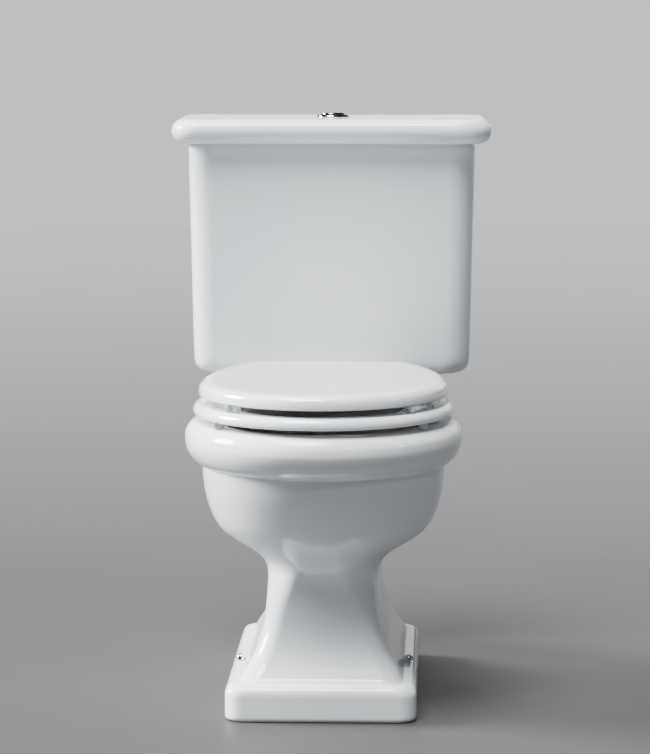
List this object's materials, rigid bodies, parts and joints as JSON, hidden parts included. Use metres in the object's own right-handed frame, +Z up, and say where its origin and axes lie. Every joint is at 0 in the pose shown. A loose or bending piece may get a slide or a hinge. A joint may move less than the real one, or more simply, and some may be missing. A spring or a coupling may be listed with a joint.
{
  "type": "close coupled toilet",
  "caption": "White glazed china toilet with a square plinth, roll-rim pan, close coupled tank with a bullnose lid, hinged seat and lid, and dual push-button flush.",
  "frame": {"origin": "on the floor, under the centre of the toilet's overall width and depth", "axes": "+Z up, +Y towards the wall behind the tank, +X to the right as seen from the front"},
  "size_m": [0.471, 0.6999, 0.812],
  "materials": {
    "glazed_china": "gloss",
    "white_seat": "gloss",
    "chrome": "polished",
    "steel": "zinc plated",
    "black_rubber": "matt",
    "white_plastic": "satin",
    "blue_plastic": "satin",
    "clear_buffer": "satin"
  },
  "bodies": {
    "base": {"coupling_bolt_left": "steel", "coupling_bolt_right": "steel", "coupling_gasket": "black_rubber", "coupling_washer_left": "black_rubber", "coupling_washer_right": "black_rubber", "coupling_wing_nut_left": "steel", "coupling_wing_nut_right": "steel", "fill_valve_body": "white_plastic", "fill_valve_head": "white_plastic", "fill_valve_nut": "white_plastic", "fill_valve_washer": "black_rubber", "floor_screw_cap_left": "chrome", "floor_screw_cap_right": "chrome", "floor_screw_left": "steel", "floor_screw_right": "steel", "flush_valve_body": "white_plastic", "flush_valve_nut": "white_plastic", "flush_valve_washer": "black_rubber", "hinge_post_left": "chrome", "hinge_post_right": "chrome", "hinge_rod": "chrome", "hinge_wing_nut_left": "white_plastic", "hinge_wing_nut_right": "white_plastic", "pan": "glazed_china", "tank": "glazed_china"},
    "ring": {"seat_ring": "white_seat", "ring_hinge_leaf_left": "chrome", "ring_buffer_front_left": "clear_buffer", "ring_buffer_rear_left": "clear_buffer", "ring_hinge_leaf_right": "chrome", "ring_buffer_front_right": "clear_buffer", "ring_buffer_rear_right": "clear_buffer"},
    "lid": {"seat_lid": "white_seat", "lid_hinge_leaf_left": "chrome", "lid_buffer_left": "clear_buffer", "lid_hinge_leaf_right": "chrome", "lid_buffer_right": "clear_buffer"},
    "tank_cover": {"tank_lid": "glazed_china", "button_collar": "chrome", "button_collar_nut": "white_plastic", "full_flush_spring": "steel", "half_flush_spring": "steel"},
    "full_button": {"full_flush_button": "chrome", "full_flush_push_rod": "white_plastic"},
    "half_button": {"half_flush_button": "chrome", "half_flush_push_rod": "white_plastic"},
    "full_rocker": {"full_flush_lever": "blue_plastic"},
    "half_rocker": {"half_flush_lever": "blue_plastic"},
    "spindle": {"overflow_tube": "white_plastic", "flush_seal": "black_rubber"},
    "half_rod": {"half_flush_lift_rod": "blue_plastic"},
    "float": {"fill_valve_float": "blue_plastic", "fill_valve_link": "white_plastic"},
    "float_arm": {"fill_valve_arm": "blue_plastic"},
    "inlet_plunger": {"fill_valve_plunger": "steel"}
  },
  "joints": [
    {"name": "seat_hinge", "type": "hinge", "parent": "base", "child": "ring", "pos_m": [0, 0.088, 0.434], "axis": [-1, 0, 0], "range_deg": [0, 92]},
    {"name": "lid_hinge", "type": "hinge", "parent": "ring", "child": "lid", "pos_m": [0, 0.088, 0.434], "axis": [1, 0, 0], "range_deg": [-93, 0]},
    {"name": "tank_lid_lift", "type": "slide", "parent": "base", "child": "tank_cover", "axis": [0, 0, 1], "range_m": [0, 0.22]},
    {"name": "full_flush_press", "type": "slide", "parent": "tank_cover", "child": "full_button", "axis": [0, 0, -1], "range_m": [0, 0.006], "stiffness_N_per_m": 300, "springref_m": -0.004, "deforming": ["full_flush_spring"]},
    {"name": "half_flush_press", "type": "slide", "parent": "tank_cover", "child": "half_button", "axis": [0, 0, -1], "range_m": [0, 0.006], "stiffness_N_per_m": 300, "springref_m": -0.004, "deforming": ["half_flush_spring"]},
    {"name": "full_lever_tilt", "type": "hinge", "parent": "base", "child": "full_rocker", "pos_m": [0.03, 0.245, 0.62], "axis": [0, -1, 0], "range_deg": [0, 26]},
    {"name": "half_lever_tilt", "type": "hinge", "parent": "base", "child": "half_rocker", "pos_m": [-0.03, 0.245, 0.62], "axis": [0, 1, 0], "range_deg": [0, 26]},
    {"name": "spindle_lift", "type": "slide", "parent": "base", "child": "spindle", "axis": [0, 0, 1], "range_m": [0, 0.0085]},
    {"name": "half_rod_lift", "type": "slide", "parent": "base", "child": "half_rod", "axis": [0, 0, 1], "range_m": [0, 0.0085]},
    {"name": "float_travel", "type": "slide", "parent": "base", "child": "float", "axis": [0, 0, 1], "range_m": [-0.012, 0]},
    {"name": "float_arm_tilt", "type": "hinge", "parent": "base", "child": "float_arm", "pos_m": [-0.142, 0.27, 0.668], "axis": [0, -1, 0], "range_deg": [-21, 0]},
    {"name": "plunger_travel", "type": "slide", "parent": "base", "child": "inlet_plunger", "axis": [0, 0, 1], "range_m": [0, 0.0045]}
  ],
  "couplings": [
    {"joint": "full_lever_tilt", "follows": "full_flush_press", "rad_per_m": 72.722},
    {"joint": "spindle_lift", "follows": "full_flush_press", "ratio": 1.3333},
    {"joint": "half_lever_tilt", "follows": "half_flush_press", "rad_per_m": 72.722},
    {"joint": "half_rod_lift", "follows": "half_flush_press", "ratio": 1.3333},
    {"joint": "float_arm_tilt", "follows": "float_travel", "rad_per_m": 29.089},
    {"joint": "plunger_travel", "follows": "float_travel", "ratio": -0.25}
  ]
}
